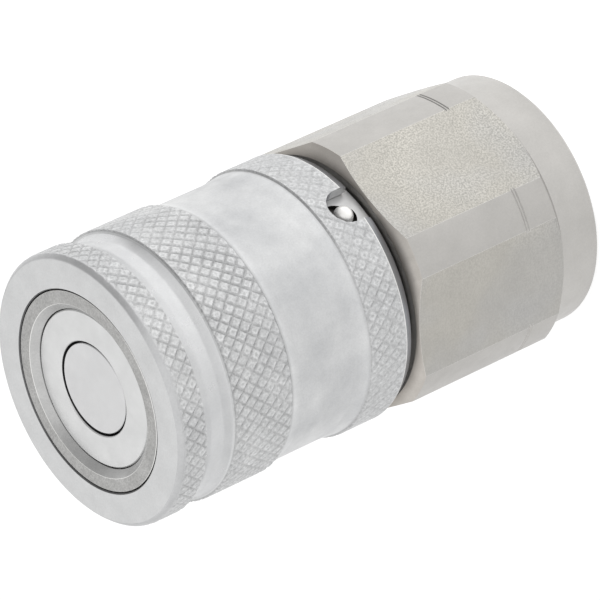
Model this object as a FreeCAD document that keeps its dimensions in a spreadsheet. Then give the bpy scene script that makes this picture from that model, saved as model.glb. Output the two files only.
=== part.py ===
# Socket half of a flat-face quick coupling. Millimetres, +Z along the axis with
# the mating face up; the origin is the centre of the rear collar's end face.
import FreeCAD, Part
import Sketcher
import math
import os

doc = FreeCAD.newDocument("quick_coupling")

# ---------------------------------------------------------------- dimensions
DIMENSIONS = [
    # lock sleeve, outside
    ("sleeve_radius", 13.92), ("sleeve_rear", 24.92), ("sleeve_front", 54.00),
    ("sleeve_rear_edge", 0.72), ("sleeve_rear_slope", 1.00), ("sleeve_front_edge", 0.50),
    ("rear_knurl_end", 30.22), ("waist_radius", 13.45), ("waist_rear", 32.40),
    ("waist_front", 38.63), ("grip_rear", 39.88), ("grip_front", 47.15),
    ("groove_radius", 13.11), ("groove_rear", 47.98), ("groove_front", 50.16),
    ("front_knurl_rear", 50.72), ("front_edge_rear", 53.30),
    # lock sleeve, inside
    ("lip_radius", 10.33), ("lip_edge", 0.12), ("lip_rear", 49.85),
    ("relief_radius", 11.82), ("cam_front", 49.17), ("cam_rear", 43.20),
    ("land_radius", 10.62), ("shoulder", 40.50), ("chamber_radius", 12.20),
    ("chamber_rear", 30.84), ("skirt_radius", 12.51), ("skirt_front", 30.53),
    ("skirt_edge", 0.26),
    # safety notch and ball
    ("notch_halfwidth", 1.97), ("notch_centre", 26.69), ("notch_turn", 1.20),
    ("safety_radius", 1.00), ("safety_height", 27.05), ("safety_turn", -0.80),
    ("safety_reach", 12.83), ("safety_pocket", 1.42), ("pocket_height", 26.79), ("safety_floor", 11.78),
    # hexagon body
    ("hex_apothem", 13.50), ("corner_radius", 14.53), ("hex_front", 24.09),
    ("face_radius", 13.17), ("cone_rear", 23.35), ("rear_cone_front", 6.04),
    ("collar_radius", 13.06), ("collar_front", 4.83), ("collar_edge", 0.36),
    ("mark_rear", 9.35), ("mark_front", 9.92), ("mark_radius", 14.33),
    ("port_radius", 5.90), ("port_mouth", 7.00), ("port_end", 12.67),
    ("bore_radius", 10.44), ("bore_mouth", 10.90), ("bore_edge", 23.57),
    # socket body
    ("spigot_radius", 10.38), ("spigot_rear", 15.27), ("spigot_edge", 0.52),
    ("static_groove", 9.24), ("static_rear", 21.39), ("static_front", 23.47),
    ("neck_radius", 11.32), ("guide_rear", 24.35), ("guide_front", 29.60),
    ("guide_radius", 12.46), ("guide_edge", 0.25), ("tube_radius", 10.23),
    ("rim_top", 53.80), ("lead_radius", 8.88), ("lead_rear", 53.24),
    ("rim_edge", 0.21), ("socket_radius", 8.15),
    ("nose_groove", 9.14), ("nose_rear", 43.82), ("nose_front", 45.07),
    ("seat", 32.19), ("tail_bore", 6.91), ("tail_groove", 8.00),
    ("tail_groove_rear", 27.21), ("tail_groove_front", 30.01),
    ("tail_step", 25.91), ("chest_radius", 7.48),
    # locking balls
    ("ball_radius", 1.56), ("ball_height", 47.25), ("ball_reach", 9.79),
    ("ball_hole", 1.62), ("ball_count", 8), ("ball_first", 22.5),
    # valve sleeve
    ("valve_front", 53.24), ("valve_mouth", 4.88), ("valve_mouth_edge", 0.10),
    ("flange_radius", 8.06), ("flange_edge", 0.12), ("flange_rear", 50.68),
    ("tail_radius", 6.85), ("tail_rear", 24.92), ("tail_edge", 0.16),
    ("flow_radius", 5.61), ("mouth_rear", 49.12), ("flow_front", 48.29),
    ("ring_groove", 6.23), ("ring_groove_rear", 25.23), ("ring_groove_front", 25.86),
    # stem
    ("head_radius", 4.56), ("head_top", 53.12), ("head_edge", 0.12),
    ("head_rear", 49.85), ("head_groove", 3.69), ("head_groove_rear", 50.57),
    ("head_groove_front", 52.03), ("shaft_radius", 2.28), ("cone_tip", 46.94),
    ("hub_radius", 3.32), ("hub_front", 17.13), ("plate_radius", 10.28),
    ("flow_hole", 1.30), ("flow_reach", 4.78), ("flow_count", 6),
    # springs, rings and seals
    ("sleeve_wire", 0.47), ("sleeve_coil", 11.11), ("sleeve_coil_pitch", 1.86),
    ("washer_inner", 10.33), ("washer_outer", 12.05), ("washer_rear", 39.83),
    ("washer_front", 40.45),
    ("valve_wire", 0.37), ("valve_coil", 7.35), ("valve_coil_pitch", 2.21),
    ("stop_inner", 6.25), ("stop_outer", 7.32), ("stop_rear", 25.29), ("stop_front", 25.81),
    ("stem_seal_ring", 4.29), ("stem_seal_wire", 0.54), ("stem_seal_height", 51.30),
    ("nose_ring", 8.66), ("nose_wire", 0.47), ("nose_height", 44.45),
    ("outer_ring", 7.46), ("outer_wire", 0.52), ("outer_height", 27.88),
    ("outer_backup_inner", 6.96), ("outer_backup_outer", 7.95),
    ("outer_backup_rear", 28.66), ("outer_backup_front", 29.91),
    ("static_ring", 9.82), ("static_wire", 0.54), ("static_height", 22.02),
    ("static_backup_inner", 9.29), ("static_backup_outer", 10.36),
    ("static_backup_rear", 22.69), ("static_backup_front", 23.37),
]

sheet = doc.addObject("Spreadsheet::Sheet", "dims")
for row, (alias, value) in enumerate(DIMENSIONS, start=1):
    sheet.set("A%d" % row, alias.replace("_", " "))
    sheet.set("B%d" % row, repr(value))
    sheet.setAlias("B%d" % row, alias)
doc.recompute()


class Size:
    """A length from the sheet, kept both as a number and as the expression that drives it."""

    def __init__(self, value, text):
        self.value, self.text = float(value), text

    def _join(self, other, sign):
        other = other if isinstance(other, Size) else Size(other, repr(other))
        total = self.value + other.value if sign == "+" else self.value - other.value
        return Size(total, "%s %s %s" % (self.text, sign, other.text))

    def __add__(self, other):
        return self._join(other, "+")

    def __sub__(self, other):
        return self._join(other, "-")


def dim(alias):
    return Size(sheet.get(alias), "dims." + alias)


def plane(body, role):
    return [f for f in body.Origin.OriginFeatures if f.Role == role][0]


def sketch_on(body, name, role, offset=None):
    sketch = body.newObject("Sketcher::SketchObject", name)
    sketch.AttachmentSupport = [(plane(body, role), "")]
    sketch.MapMode = "FlatFace"
    if offset is not None:
        sketch.AttachmentOffset = offset
    return sketch


def pin(sketch, geometry, point, across, along):
    """Fix one point of the sketch by its two distances from the origin."""
    for kind, size in (("DistanceX", across), ("DistanceY", along)):
        if abs(size.value) < 1e-9:
            index = sketch.addConstraint(Sketcher.Constraint("PointOnObject", geometry, point, -2 if kind == "DistanceX" else -1))
        else:
            index = sketch.addConstraint(Sketcher.Constraint(kind, -1, 1, geometry, point, size.value))
            sketch.setExpression("Constraints[%d]" % index, size.text)


def polygon(sketch, corners):
    """Closed outline through corners, each given as (distance from the axis, height)."""
    first = sketch.GeometryCount
    count = len(corners)
    for i, (a, b) in enumerate(corners):
        c, d = corners[(i + 1) % count]
        sketch.addGeometry(Part.LineSegment(FreeCAD.Vector(a.value, b.value, 0), FreeCAD.Vector(c.value, d.value, 0)), False)
    for i in range(count):
        sketch.addConstraint(Sketcher.Constraint("Coincident", first + i, 2, first + (i + 1) % count, 1))
    for i, (a, b) in enumerate(corners):
        pin(sketch, first + i, 1, a, b)


def circle(sketch, across, along, radius):
    index = sketch.addGeometry(Part.Circle(FreeCAD.Vector(across.value, along.value, 0), FreeCAD.Vector(0, 0, 1), radius.value), False)
    pin(sketch, index, 3, across, along)
    number = sketch.addConstraint(Sketcher.Constraint("Radius", index, radius.value))
    sketch.setExpression("Constraints[%d]" % number, radius.text)


ZERO = Size(0.0, "0")
subparts = []


def turned(label, corners):
    """A piece turned about the Z axis from one half section."""
    body = doc.addObject("PartDesign::Body", label)
    body.Label = label
    section = sketch_on(body, label + "_section", "XZ_Plane")
    polygon(section, corners)
    solid = body.newObject("PartDesign::Revolution", label + "_turning")
    solid.Profile = section
    solid.ReferenceAxis = (section, ["V_Axis"])
    solid.Angle = 360
    body.Tip = solid
    doc.recompute()
    subparts.append(body)
    return body


def turned_cut(body, name, corners):
    section = sketch_on(body, name + "_section", "XZ_Plane")
    polygon(section, corners)
    cut = body.newObject("PartDesign::Groove", name)
    cut.Profile = section
    cut.ReferenceAxis = (section, ["V_Axis"])
    cut.Angle = 360
    body.Tip = cut
    doc.recompute()
    return cut


def pocket(body, name, section, length=None, through=False):
    cut = body.newObject("PartDesign::Pocket", name)
    cut.Profile = section
    if through:
        cut.Type = "ThroughAll"
        cut.Midplane = True
    else:
        cut.Length = length
        cut.Reversed = True
    body.Tip = cut
    doc.recompute()
    return cut


def polar(body, name, feature, count):
    ring = body.newObject("PartDesign::PolarPattern", name)
    ring.Originals = [feature]
    ring.Axis = (plane(body, "Z_Axis"), [""])
    ring.Angle = 360
    ring.Occurrences = int(round(count.value))
    ring.setExpression("Occurrences", count.text)
    body.Tip = ring
    doc.recompute()
    return ring


def spun(angle, distance=0.0):
    """Sketch plane through the axis (or beside it), turned about Z to face the given angle."""
    turn = FreeCAD.Rotation(FreeCAD.Vector(0, 1, 0), angle)
    return FreeCAD.Placement(turn.multVec(FreeCAD.Vector(0, 0, distance)), turn)


def ring(label, radius, wire, height):
    torus = doc.addObject("Part::Torus", label)
    torus.Label = label
    torus.setExpression("Radius1", "dims." + radius)
    torus.setExpression("Radius2", "dims." + wire)
    torus.setExpression(".Placement.Base.z", "dims." + height)
    subparts.append(torus)
    return torus


def flat_ring(label, inner, outer, rear, front):
    return turned(label, [(dim(inner), dim(rear)), (dim(outer), dim(rear)), (dim(outer), dim(front)), (dim(inner), dim(front))])


def coil(label, radius, wire, pitch, rear, front):
    """Round-wire compression spring standing between two seats."""
    body = doc.addObject("PartDesign::Body", label)
    body.Label = label
    section = sketch_on(body, label + "_wire", "XZ_Plane")
    circle(section, dim(radius), dim(rear) + dim(wire), dim(wire))
    wound = body.newObject("PartDesign::AdditiveHelix", label + "_winding")
    wound.Profile = section
    wound.ReferenceAxis = (section, ["V_Axis"])
    wound.Mode = 0
    wound.setExpression("Pitch", "dims." + pitch)
    wound.setExpression("Height", "dims.%s - dims.%s - 2 * dims.%s" % (front, rear, wire))
    body.Tip = wound
    doc.recompute()
    subparts.append(body)
    return body


# ------------------------------------------------------------- hexagon body
hex_body = turned("hex_body", [
    (dim("port_mouth"), ZERO),
    (dim("collar_radius") - dim("collar_edge"), ZERO),
    (dim("collar_radius"), dim("collar_edge")),
    (dim("collar_radius"), dim("collar_front")),
    (dim("corner_radius"), dim("rear_cone_front")),
    (dim("corner_radius"), dim("cone_rear")),
    (dim("face_radius"), dim("hex_front")),
    (dim("bore_mouth"), dim("hex_front")),
    (dim("bore_radius"), dim("bore_edge")),
    (dim("bore_radius"), dim("port_end")),
    (dim("port_radius"), dim("port_end")),
    (dim("port_radius"), dim("port_mouth") - dim("port_radius")),
])
flats = sketch_on(hex_body, "hex_flats", "XY_Plane")
reach = 2.0 / math.sqrt(3.0) * sheet.get("hex_apothem")
spots = [FreeCAD.Vector(reach * math.cos(math.radians(30 + 60 * i)), reach * math.sin(math.radians(30 + 60 * i)), 0) for i in range(6)]
for i in range(6):
    flats.addGeometry(Part.LineSegment(spots[i], spots[(i + 1) % 6]), False)
for i in range(6):
    flats.addConstraint(Sketcher.Constraint("Coincident", i, 2, (i + 1) % 6, 1))
guide = flats.addGeometry(Part.Circle(FreeCAD.Vector(0, 0, 0), FreeCAD.Vector(0, 0, 1), reach), True)
flats.addConstraint(Sketcher.Constraint("Coincident", guide, 3, -1, 1))
for i in range(6):
    flats.addConstraint(Sketcher.Constraint("PointOnObject", i, 1, guide))
for i in range(5):
    flats.addConstraint(Sketcher.Constraint("Equal", i, i + 1))
flats.addConstraint(Sketcher.Constraint("Vertical", 5))
across = flats.addConstraint(Sketcher.Constraint("DistanceX", -1, 1, 5, 1, sheet.get("hex_apothem")))
flats.setExpression("Constraints[%d]" % across, "dims.hex_apothem")
rim = flats.addGeometry(Part.Circle(FreeCAD.Vector(0, 0, 0), FreeCAD.Vector(0, 0, 1), 20.0), False)
flats.addConstraint(Sketcher.Constraint("Coincident", rim, 3, -1, 1))
flats.addConstraint(Sketcher.Constraint("Radius", rim, 20.0))
pocket(hex_body, "hex_milling", flats, through=True)
turned_cut(hex_body, "hex_mark", [
    (dim("mark_radius"), dim("mark_rear")), (dim("corner_radius") + 1.0, dim("mark_rear")),
    (dim("corner_radius") + 1.0, dim("mark_front")), (dim("mark_radius"), dim("mark_front")),
])

# -------------------------------------------------------------- socket body
socket_body = turned("socket_body", [
    (dim("chest_radius"), dim("spigot_rear")),
    (dim("spigot_radius") - dim("spigot_edge"), dim("spigot_rear")),
    (dim("spigot_radius"), dim("spigot_rear") + dim("spigot_edge")),
    (dim("spigot_radius"), dim("static_rear")),
    (dim("static_groove"), dim("static_rear")),
    (dim("static_groove"), dim("static_front")),
    (dim("spigot_radius"), dim("static_front")),
    (dim("spigot_radius"), dim("hex_front")),
    (dim("neck_radius"), dim("hex_front")),
    (dim("neck_radius"), dim("guide_rear")),
    (dim("guide_radius") - dim("guide_edge"), dim("guide_rear")),
    (dim("guide_radius"), dim("guide_rear") + dim("guide_edge")),
    (dim("guide_radius"), dim("guide_front") - dim("guide_edge")),
    (dim("guide_radius") - dim("guide_edge"), dim("guide_front")),
    (dim("tube_radius"), dim("guide_front")),
    (dim("tube_radius"), dim("rim_top") - dim("rim_edge")),
    (dim("tube_radius") - dim("rim_edge"), dim("rim_top")),
    (dim("lead_radius"), dim("rim_top")),
    (dim("socket_radius"), dim("lead_rear")),
    (dim("socket_radius"), dim("nose_front")),
    (dim("nose_groove"), dim("nose_front")),
    (dim("nose_groove"), dim("nose_rear")),
    (dim("socket_radius"), dim("nose_rear")),
    (dim("socket_radius"), dim("seat")),
    (dim("tail_bore"), dim("seat")),
    (dim("tail_bore"), dim("tail_groove_front")),
    (dim("tail_groove"), dim("tail_groove_front")),
    (dim("tail_groove"), dim("tail_groove_rear")),
    (dim("tail_bore"), dim("tail_groove_rear")),
    (dim("tail_bore"), dim("tail_step")),
    (dim("chest_radius"), dim("tail_step")),
])
ball_drill = sketch_on(socket_body, "ball_drill", "YZ_Plane", spun(sheet.get("ball_first")))
circle(ball_drill, ZERO, dim("ball_height"), dim("ball_hole"))
polar(socket_body, "ball_holes", pocket(socket_body, "ball_hole_cut", ball_drill, length=14.0), dim("ball_count"))
catch_drill = sketch_on(socket_body, "catch_drill", "YZ_Plane", spun(sheet.get("safety_turn"), sheet.get("safety_floor")))
circle(catch_drill, ZERO, dim("pocket_height"), dim("safety_pocket"))
pocket(socket_body, "catch_pocket", catch_drill, length=3.0)

# -------------------------------------------------------------- lock sleeve
lock_sleeve = turned("lock_sleeve", [
    (dim("skirt_radius") + dim("skirt_edge"), dim("sleeve_rear")),
    (dim("sleeve_radius") - dim("sleeve_rear_edge"), dim("sleeve_rear")),
    (dim("sleeve_radius"), dim("sleeve_rear") + dim("sleeve_rear_slope")),
    (dim("sleeve_radius"), dim("rear_knurl_end")),
    (dim("waist_radius"), dim("waist_rear")),
    (dim("waist_radius"), dim("waist_front")),
    (dim("sleeve_radius"), dim("grip_rear")),
    (dim("sleeve_radius"), dim("grip_front")),
    (dim("sleeve_radius") - 0.45, dim("grip_front") + 0.30),
    (dim("groove_radius"), dim("groove_rear")),
    (dim("groove_radius"), dim("groove_front")),
    (dim("sleeve_radius") - 0.45, dim("front_knurl_rear") - 0.15),
    (dim("sleeve_radius"), dim("front_knurl_rear")),
    (dim("sleeve_radius"), dim("front_edge_rear")),
    (dim("sleeve_radius") - dim("sleeve_front_edge"), dim("sleeve_front")),
    (dim("lip_radius") + dim("lip_edge"), dim("sleeve_front")),
    (dim("lip_radius"), dim("sleeve_front") - dim("lip_edge")),
    (dim("lip_radius"), dim("lip_rear")),
    (dim("relief_radius"), dim("lip_rear")),
    (dim("relief_radius"), dim("cam_front")),
    (dim("land_radius"), dim("cam_rear")),
    (dim("land_radius"), dim("shoulder")),
    (dim("chamber_radius"), dim("shoulder")),
    (dim("chamber_radius"), dim("chamber_rear")),
    (dim("skirt_radius"), dim("skirt_front")),
    (dim("skirt_radius"), dim("sleeve_rear") + dim("skirt_edge")),
])
# notch: a slot as wide as its round end, open at the rear edge
notch = sketch_on(lock_sleeve, "notch_outline", "YZ_Plane", spun(sheet.get("notch_turn")))
half, middle, open_end = sheet.get("notch_halfwidth"), sheet.get("notch_centre"), sheet.get("sleeve_rear") - 2.0
notch.addGeometry(Part.LineSegment(FreeCAD.Vector(-half, open_end, 0), FreeCAD.Vector(half, open_end, 0)), False)
notch.addGeometry(Part.LineSegment(FreeCAD.Vector(half, open_end, 0), FreeCAD.Vector(half, middle, 0)), False)
notch.addGeometry(Part.ArcOfCircle(Part.Circle(FreeCAD.Vector(0, middle, 0), FreeCAD.Vector(0, 0, 1), half), 0.0, math.pi), False)
notch.addGeometry(Part.LineSegment(FreeCAD.Vector(-half, middle, 0), FreeCAD.Vector(-half, open_end, 0)), False)
for first, second in ((0, 1), (3, 0)):
    notch.addConstraint(Sketcher.Constraint("Coincident", first, 2, second, 1))
for first, second in ((1, 2), (2, 3)):
    notch.addConstraint(Sketcher.Constraint("Tangent", first, 2, second, 1))
notch.addConstraint(Sketcher.Constraint("Vertical", 1))
notch.addConstraint(Sketcher.Constraint("Vertical", 3))
notch.addConstraint(Sketcher.Constraint("Horizontal", 0))
notch.addConstraint(Sketcher.Constraint("PointOnObject", 2, 3, -2))
level = notch.addConstraint(Sketcher.Constraint("DistanceY", -1, 1, 2, 3, middle))
notch.setExpression("Constraints[%d]" % level, "dims.notch_centre")
round_end = notch.addConstraint(Sketcher.Constraint("Radius", 2, half))
notch.setExpression("Constraints[%d]" % round_end, "dims.notch_halfwidth")
mouth = notch.addConstraint(Sketcher.Constraint("DistanceY", -1, 1, 0, 1, open_end))
notch.setExpression("Constraints[%d]" % mouth, "dims.sleeve_rear - 2")
pocket(lock_sleeve, "notch_cut", notch, length=20.0)

# ------------------------------------------------- valve sleeve and its ring
turned("valve_sleeve", [
    (dim("valve_mouth") + dim("valve_mouth_edge"), dim("valve_front")),
    (dim("flange_radius") - dim("flange_edge"), dim("valve_front")),
    (dim("flange_radius"), dim("valve_front") - dim("flange_edge")),
    (dim("flange_radius"), dim("flange_rear") + dim("flange_edge")),
    (dim("flange_radius") - dim("flange_edge"), dim("flange_rear")),
    (dim("tail_radius"), dim("flange_rear")),
    (dim("tail_radius"), dim("ring_groove_front")),
    (dim("ring_groove"), dim("ring_groove_front")),
    (dim("ring_groove"), dim("ring_groove_rear")),
    (dim("tail_radius"), dim("ring_groove_rear")),
    (dim("tail_radius"), dim("tail_rear") + dim("tail_edge")),
    (dim("tail_radius") - dim("tail_edge"), dim("tail_rear")),
    (dim("flow_radius"), dim("tail_rear")),
    (dim("flow_radius"), dim("flow_front")),
    (dim("valve_mouth"), dim("mouth_rear")),
    (dim("valve_mouth"), dim("valve_front") - dim("valve_mouth_edge")),
])
flat_ring("valve_stop_ring", "stop_inner", "stop_outer", "stop_rear", "stop_front")

# --------------------------------------------------------------------- stem
valve_stem = turned("valve_stem", [
    (ZERO, dim("port_end")),
    (dim("plate_radius"), dim("port_end")),
    (dim("plate_radius"), dim("spigot_rear")),
    (dim("hub_radius"), dim("spigot_rear")),
    (dim("shaft_radius"), dim("hub_front")),
    (dim("shaft_radius"), dim("cone_tip")),
    (dim("head_radius"), dim("head_rear")),
    (dim("head_radius"), dim("head_groove_rear")),
    (dim("head_groove"), dim("head_groove_rear")),
    (dim("head_groove"), dim("head_groove_front")),
    (dim("head_radius"), dim("head_groove_front")),
    (dim("head_radius"), dim("head_top") - dim("head_edge")),
    (dim("head_radius") - dim("head_edge"), dim("head_top")),
    (ZERO, dim("head_top")),
])
flow_drill = sketch_on(valve_stem, "flow_drill", "XY_Plane")
circle(flow_drill, dim("flow_reach"), ZERO, dim("flow_hole"))
polar(valve_stem, "flow_holes", pocket(valve_stem, "flow_hole_cut", flow_drill, length=sheet.get("spigot_rear") + 0.5), dim("flow_count"))

# --------------------------------------------------------- springs and seals
coil("sleeve_spring", "sleeve_coil", "sleeve_wire", "sleeve_coil_pitch", "guide_front", "washer_rear")
flat_ring("spring_washer", "washer_inner", "washer_outer", "washer_rear", "washer_front")
coil("valve_spring", "valve_coil", "valve_wire", "valve_coil_pitch", "seat", "flange_rear")
ring("stem_seal", "stem_seal_ring", "stem_seal_wire", "stem_seal_height")
ring("nose_seal", "nose_ring", "nose_wire", "nose_height")
ring("valve_outer_seal", "outer_ring", "outer_wire", "outer_height")
flat_ring("valve_backup_ring", "outer_backup_inner", "outer_backup_outer", "outer_backup_rear", "outer_backup_front")
ring("body_o_ring", "static_ring", "static_wire", "static_height")
flat_ring("body_backup_ring", "static_backup_inner", "static_backup_outer", "static_backup_rear", "static_backup_front")

# -------------------------------------------------------------------- balls


def ball(label, radius, reach_alias, height, angle):
    sphere = doc.addObject("Part::Sphere", label)
    sphere.Label = label
    sphere.setExpression("Radius", "dims." + radius)
    sphere.setExpression(".Placement.Base.x", "dims.%s * cos(%s deg)" % (reach_alias, angle))
    sphere.setExpression(".Placement.Base.y", "dims.%s * sin(%s deg)" % (reach_alias, angle))
    sphere.setExpression(".Placement.Base.z", "dims." + height)
    subparts.append(sphere)


for number in range(8):
    ball("locking_ball_%d" % (number + 1), "ball_radius", "ball_reach", "ball_height", "(dims.ball_first + %d * 360 / dims.ball_count) * 1" % number)
ball("safety_ball", "safety_radius", "safety_reach", "safety_height", "(dims.safety_turn) * 1")

# ------------------------------------------------------------ check and write
doc.recompute()
bad = [o.Name for o in doc.Objects if "Invalid" in o.State or "Error" in o.State]
for part in subparts:
    shape = part.Shape
    if shape.isNull() or not shape.isValid() or len(shape.Solids) < 1:
        bad.append(part.Label)
if bad:
    raise RuntimeError("not built: " + ", ".join(bad))
os.makedirs("parts", exist_ok=True)
for part in subparts:
    part.Shape.exportStep("parts/%s.step" % part.Label)
    print("%-20s solids %d  volume %10.3f mm3" % (part.Label, len(part.Shape.Solids), part.Shape.Volume))
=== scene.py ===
import math

import bmesh
import bpy
import numpy as np
from mathutils import Matrix, Vector


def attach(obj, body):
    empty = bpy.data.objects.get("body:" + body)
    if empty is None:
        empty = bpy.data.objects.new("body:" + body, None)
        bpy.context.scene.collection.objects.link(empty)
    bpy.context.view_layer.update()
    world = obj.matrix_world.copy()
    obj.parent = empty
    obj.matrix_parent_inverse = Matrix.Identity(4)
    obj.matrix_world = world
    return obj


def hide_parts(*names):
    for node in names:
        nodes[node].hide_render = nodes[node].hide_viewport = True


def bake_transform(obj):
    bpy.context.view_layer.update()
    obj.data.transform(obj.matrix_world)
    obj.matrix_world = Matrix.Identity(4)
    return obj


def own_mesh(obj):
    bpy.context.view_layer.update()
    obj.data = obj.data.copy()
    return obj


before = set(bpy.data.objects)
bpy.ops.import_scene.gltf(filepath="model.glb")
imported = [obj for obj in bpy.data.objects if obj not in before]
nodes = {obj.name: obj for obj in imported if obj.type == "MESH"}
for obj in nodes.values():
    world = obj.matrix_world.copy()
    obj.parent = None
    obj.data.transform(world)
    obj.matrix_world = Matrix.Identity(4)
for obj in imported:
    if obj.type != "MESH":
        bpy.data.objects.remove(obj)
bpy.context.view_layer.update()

# outlines are drawn for a hexagon 26 across flats and brought to the part's 27 mm; K takes a true millimetre the other way
MM = 0.001 * 27 / 26
K = 26 / 27
scene = bpy.context.scene
scene.view_settings.view_transform = "Standard"


# ------------------------------------------------------------------ geometry
def rounded(corners, steps=4):
    """Closed outline from (radius, height, rounding) corners, each corner eased by its own arc."""
    out = []
    n = len(corners)
    for i, (r, z, f) in enumerate(corners):
        p = Vector((r, z))
        a = Vector(corners[i - 1][:2]) - p
        b = Vector(corners[(i + 1) % n][:2]) - p
        if f <= 0:
            out.append((r, z))
            continue
        la, lb = a.length, b.length
        a, b = a / la, b / lb
        turn = math.acos(max(-1, min(1, a.dot(b))))
        cut = min(f / math.tan(turn / 2), 0.48 * la, 0.48 * lb)
        f = cut * math.tan(turn / 2)
        mid = (a + b).normalized()
        centre = p + mid * (f / math.sin(turn / 2))
        s, e = p + a * cut - centre, p + b * cut - centre
        sweep = math.atan2(s.x * e.y - s.y * e.x, s.dot(e))
        for k in range(steps + 1):
            t = sweep * k / steps
            c, d = math.cos(t), math.sin(t)
            out.append((centre.x + s.x * c - s.y * d, centre.y + s.x * d + s.y * c))
    return out


def refine(rows, longest):
    """Adds rows so that no step along the outline is longer than asked."""
    out = []
    for i, (r, z) in enumerate(rows):
        r2, z2 = rows[(i + 1) % len(rows)]
        n = max(1, math.ceil(math.hypot(r2 - r, z2 - z) / longest))
        for k in range(n):
            out.append((r + (r2 - r) * k / n, z + (z2 - z) * k / n))
    return out


def make(name, verts, faces, smooth=30):
    mesh = bpy.data.meshes.new(name)
    mesh.from_pydata([tuple(v) for v in verts], [], faces)
    mesh.update()
    obj = bpy.data.objects.new(name, mesh)
    scene.collection.objects.link(obj)
    shade(obj, smooth)
    return obj


def shade(obj, angle):
    mesh = obj.data
    mesh.polygons.foreach_set("use_smooth", [True] * len(mesh.polygons))
    mesh.set_sharp_from_angle(angle=math.radians(angle))
    mesh.update()


def lathe(name, rows, columns, radius=None, split=None, smooth=30):
    """Closed ring turned about Z from rows of (radius, height); radius(i, j) may vary round the ring,
    and split(i, j) says which way a face is divided."""
    m = len(rows)
    r = np.array([p[0] for p in rows])[:, None] * np.ones((1, columns))
    z = np.array([p[1] for p in rows])[:, None] * np.ones((1, columns))
    t = 2 * math.pi * np.arange(columns)[None, :] / columns
    if radius is not None:
        r = radius(r, z, t)
    verts = np.stack([r * np.cos(t), r * np.sin(t), z], -1).reshape(-1, 3) * MM
    faces = []
    for j in range(m):
        k = (j + 1) % m
        for i in range(columns):
            h = (i + 1) % columns
            a, b, c, d = j * columns + i, j * columns + h, k * columns + h, k * columns + i
            way = split(j, i) if split else 0
            if way == 0:
                faces.append((a, b, c, d))
            elif way == 1:
                faces += [(a, b, c), (a, c, d)]
            else:
                faces += [(a, b, d), (b, c, d)]
    return make(name, verts, faces, smooth)


def spindle(name, rows, columns, smooth=30):
    """Solid turned about Z whose outline starts and ends on the axis."""
    inner = rows[1:-1]
    m = len(inner)
    verts = [(0, 0, rows[0][1] * MM)]
    for r, z in inner:
        for i in range(columns):
            t = 2 * math.pi * i / columns
            verts.append((r * math.cos(t) * MM, r * math.sin(t) * MM, z * MM))
    verts.append((0, 0, rows[-1][1] * MM))
    last = len(verts) - 1
    faces = []
    for i in range(columns):
        h = (i + 1) % columns
        faces.append((0, 1 + h, 1 + i))
        faces.append((last, 1 + (m - 1) * columns + i, 1 + (m - 1) * columns + h))
    for j in range(m - 1):
        for i in range(columns):
            h = (i + 1) % columns
            a, b = 1 + j * columns + i, 1 + j * columns + h
            faces.append((a, b, b + columns, a + columns))
    return make(name, verts, faces, smooth)


def prism(name, outline, low, high):
    """Upright prism in its own frame from an (x, y) outline, in millimetres."""
    n = len(outline)
    verts = [(x * MM, y * MM, low * MM) for x, y in outline] + [(x * MM, y * MM, high * MM) for x, y in outline]
    faces = [tuple(reversed(range(n))), tuple(range(n, 2 * n))]
    faces += [(i, (i + 1) % n, n + (i + 1) % n, n + i) for i in range(n)]
    return make(name, verts, faces)


def boolean(obj, tools, operation="DIFFERENCE"):
    for tool in tools:
        m = obj.modifiers.new("cut", "BOOLEAN")
        m.operation = operation
        m.solver = "MANIFOLD"
        m.object = tool
    bake(obj)
    for tool in tools:
        bpy.data.objects.remove(tool)
    return obj


def bake(obj):
    bpy.context.view_layer.update()
    done = bpy.data.meshes.new_from_object(obj.evaluated_get(bpy.context.evaluated_depsgraph_get()))
    old = obj.data
    obj.modifiers.clear()
    obj.data = done
    done.name = obj.name
    bpy.data.meshes.remove(old)


def radial(angle, distance=0.0, height=0.0):
    """Frame whose Z points out from the axis at the given angle, X round the axis and Y up the axis."""
    t = math.radians(angle)
    out, up = Vector((math.cos(t), math.sin(t), 0)), Vector((0, 0, 1))
    side = up.cross(out)
    m = Matrix((side, up, out)).transposed().to_4x4()
    m.translation = out * distance * MM + up * height * MM
    return m


# ------------------------------------------------------------------ lock sleeve
STARTS, AXIAL, FINE = 61, 1.50, 10         # knurl starts each way, axial pitch, rows to one pitch
DEPTH, WIDTH, DISH = 0.12, 0.22, 0.036      # groove depth, half width as a share of the pitch, hollow of the tops
R_OUT = 13.40

outer = [
    (12.30, 24.00, 0), (12.90, 24.00, 0.05), (13.40, 24.96, 0.24), (13.40, 29.05, 0.0), (13.17, 29.22, 0.04),
    (12.95, 31.20, 1.2), (12.95, 37.35, 0.9), (13.20, 38.66, 0.05), (13.40, 38.84, 0.0),
    (13.40, 45.36, 0.04), (13.02, 45.56, 0.10), (12.62, 46.50, 1.1), (12.64, 47.75, 1.6), (12.98, 48.80, 0.06), (13.40, 48.94, 0.0),
    (13.40, 51.22, 0.0), (13.33, 51.55, 0.30), (12.95, 52.00, 0.34), (10.08, 52.00, 0.06), (9.95, 51.87, 0.05),
    (9.95, 48.00, 0), (11.38, 48.00, 0), (11.38, 47.35, 0), (10.23, 41.60, 0), (10.23, 39.00, 0),
    (11.75, 39.00, 0), (11.75, 29.70, 0), (12.05, 29.40, 0), (12.05, 24.25, 0),
]
rows = rounded(outer, 3)
step = AXIAL / FINE
full = []
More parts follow.
